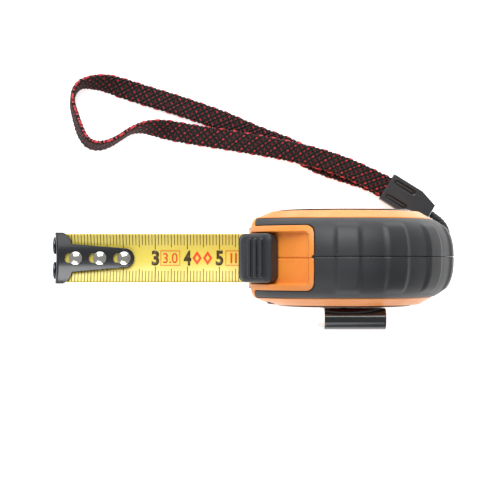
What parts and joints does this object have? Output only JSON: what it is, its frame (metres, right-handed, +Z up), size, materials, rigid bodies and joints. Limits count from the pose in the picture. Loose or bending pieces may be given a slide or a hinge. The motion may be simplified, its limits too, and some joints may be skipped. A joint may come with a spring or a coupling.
{
  "type": "tape measure",
  "caption": "Pocket tape measure with a rubber-jacketed case, pull-out blade with end hook, thumb lock, belt clip and wrist strap.",
  "frame": {"origin": "on the flat base, on the plane between the case halves, straight under the reel's axis", "axes": "+Z up from the base, +X from the blade's mouth to the back of the case, +Y to the wrist strap's side"},
  "size_m": [0.1245, 0.0792, 0.0624],
  "materials": {
    "orange_shell": "moulded ABS, satin to gloss",
    "black_rubber": "soft overmoulded rubber, matt",
    "printed_label": "printed film, satin",
    "black_plastic": "moulded nylon, satin",
    "white_plastic": "moulded acetal, satin",
    "bright_steel": "nickel plated",
    "yellow_blade": "yellow lacquer under clear film",
    "black_steel": "black electro-coated steel",
    "strap_yarn": "braided polyester, black with red",
    "cord_yarn": "fine braided polyester"
  },
  "bodies": {
    "case": {"clip_side_shell": "orange_shell", "strap_side_shell": "orange_shell", "clip_side_grip": "black_rubber", "strap_side_grip": "black_rubber", "clip_side_label": "printed_label", "strap_side_label": "printed_label", "mouth_bumper": "black_rubber", "brake_leaf": "white_plastic", "reel_spindle": "bright_steel", "blade_lead": "yellow_blade", "belt_clip": "black_steel", "clip_screw": "black_steel", "case_screw_1": "black_steel", "case_screw_2": "black_steel", "case_screw_3": "black_steel", "strap_webbing": "strap_yarn", "strap_cord": "cord_yarn", "strap_connector": "black_plastic"},
    "reel": {"reel_drum": "white_plastic", "reel_cover": "white_plastic", "power_spring": "bright_steel", "blade_coil": "yellow_blade"},
    "blade": {"blade_strip": "yellow_blade", "hook_rivet_1": "bright_steel", "hook_rivet_2": "bright_steel", "hook_rivet_3": "bright_steel"},
    "hook": {"end_hook": "black_steel", "hook_magnet_1": "bright_steel", "hook_magnet_2": "bright_steel"},
    "lock": {"lock_button": "black_plastic", "lock_slider": "black_plastic"}
  },
  "joints": [
    {"name": "blade_slide", "type": "slide", "parent": "case", "child": "blade", "axis": [1, 0, 0], "range_m": [0, 0.053], "deforming": ["blade_lead"]},
    {"name": "hook_float", "type": "slide", "parent": "blade", "child": "hook", "axis": [1, 0, 0], "range_m": [0, 0.001]},
    {"name": "reel_turn", "type": "hinge", "parent": "case", "child": "reel", "pos_m": [0, 0, 0.03], "axis": [0, 1, 0], "range_deg": [-155, 0]},
    {"name": "lock_slide", "type": "slide", "parent": "case", "child": "lock", "axis": [0.766, 0, 0.6428], "range_m": [0, 0.0076]}
  ],
  "couplings": [
    {"joint": "reel_turn", "follows": "blade_slide", "rad_per_m": -50}
  ]
}
